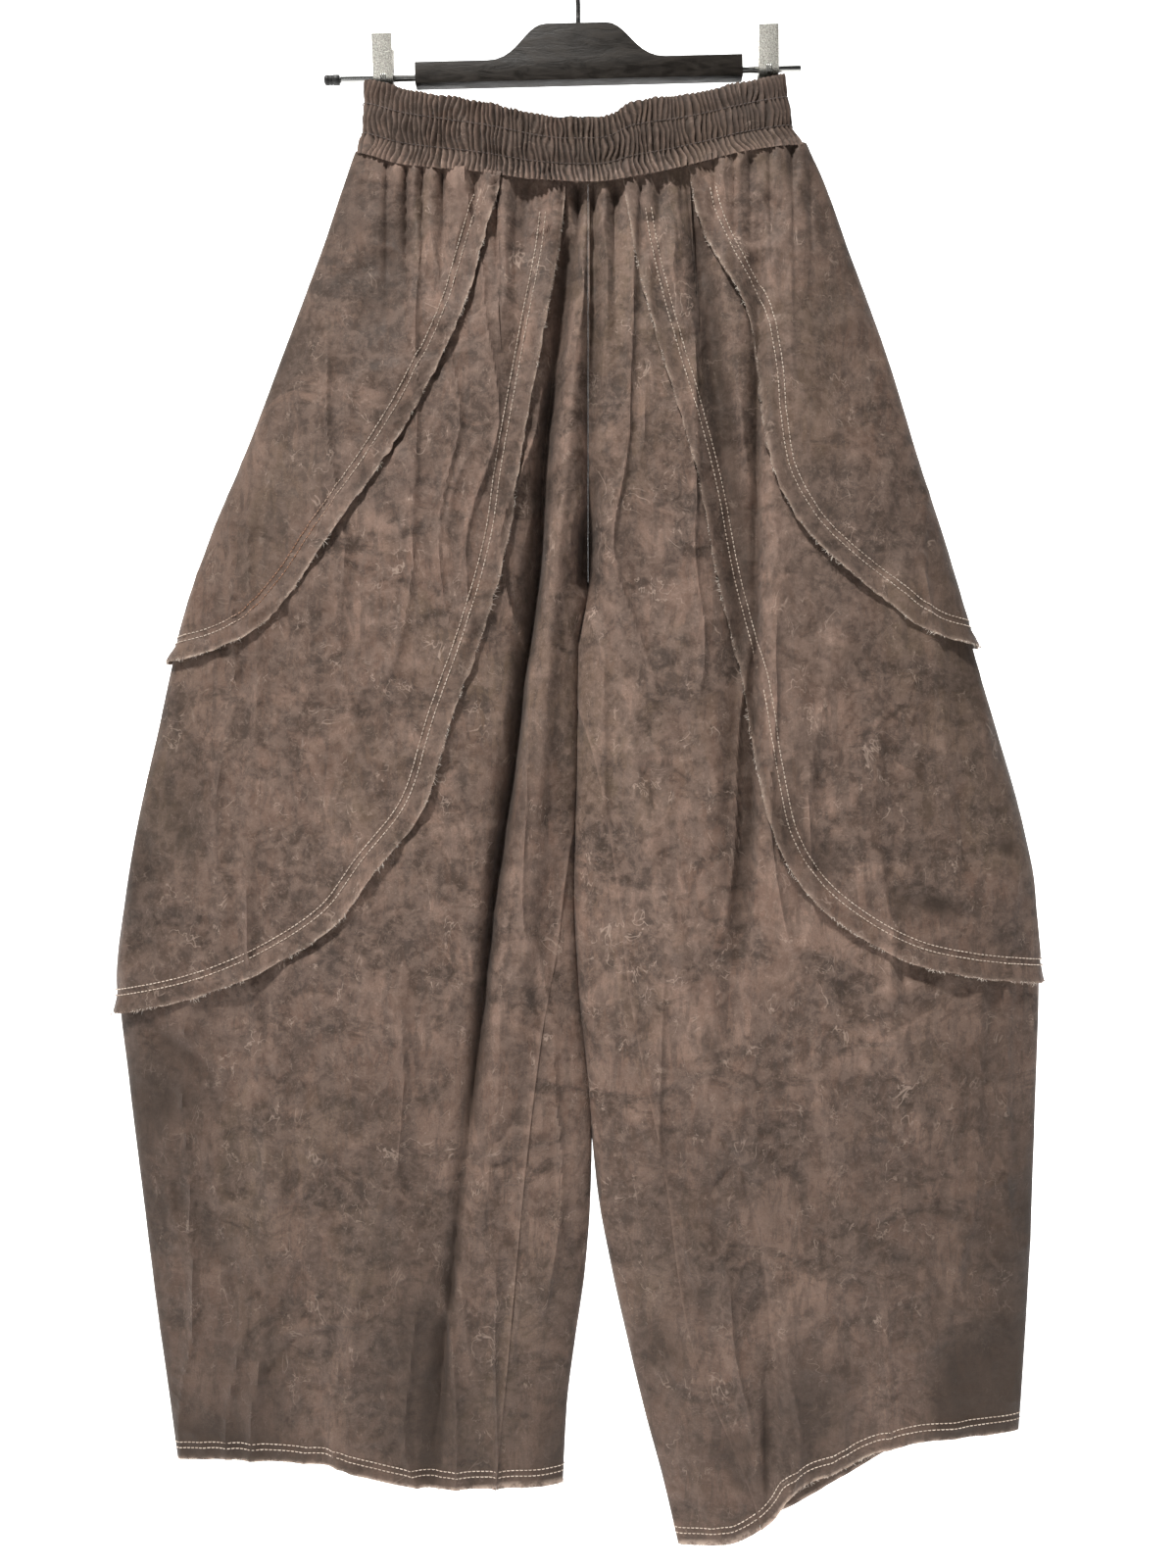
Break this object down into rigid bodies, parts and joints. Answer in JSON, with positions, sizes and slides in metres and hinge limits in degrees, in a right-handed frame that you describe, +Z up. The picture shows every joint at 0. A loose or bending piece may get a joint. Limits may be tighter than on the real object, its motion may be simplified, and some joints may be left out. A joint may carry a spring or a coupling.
{
  "type": "balloon pants on a clip hanger",
  "caption": "Wide balloon pants in washed brown cotton with a gathered elastic waist and curved raw-edge seams, hung from a clip hanger.",
  "frame": {"origin": "the top of the hanger hook's inner side, where a rail carries it", "axes": "+Z up; the front of the pants faces -Y; +X to the viewer's right"},
  "size_m": [0.6604, 0.0766, 1.1605],
  "materials": {
    "cloth": "washed, waxed cotton, mottled",
    "bar_plastic": "satin, fine grain",
    "steel": "bright",
    "clip_steel": "bright, speckled",
    "cap_plastic": "satin"
  },
  "bodies": {
    "root": {"waistband": "cloth", "front_left_hip": "cloth", "front_left_thigh": "cloth", "front_left_leg": "cloth", "back_left_hip": "cloth", "back_left_thigh": "cloth", "back_left_leg": "cloth", "front_right_hip": "cloth", "front_right_thigh": "cloth", "front_right_leg": "cloth", "back_right_hip": "cloth", "back_right_thigh": "cloth", "back_right_leg": "cloth", "hanger_bar": "bar_plastic", "hanger_rod": "steel", "hanger_rod_cap": "cap_plastic", "hanger_clip_left": "clip_steel", "hanger_clip_right": "clip_steel", "hanger_hook": "steel"}
  },
  "joints": []
}
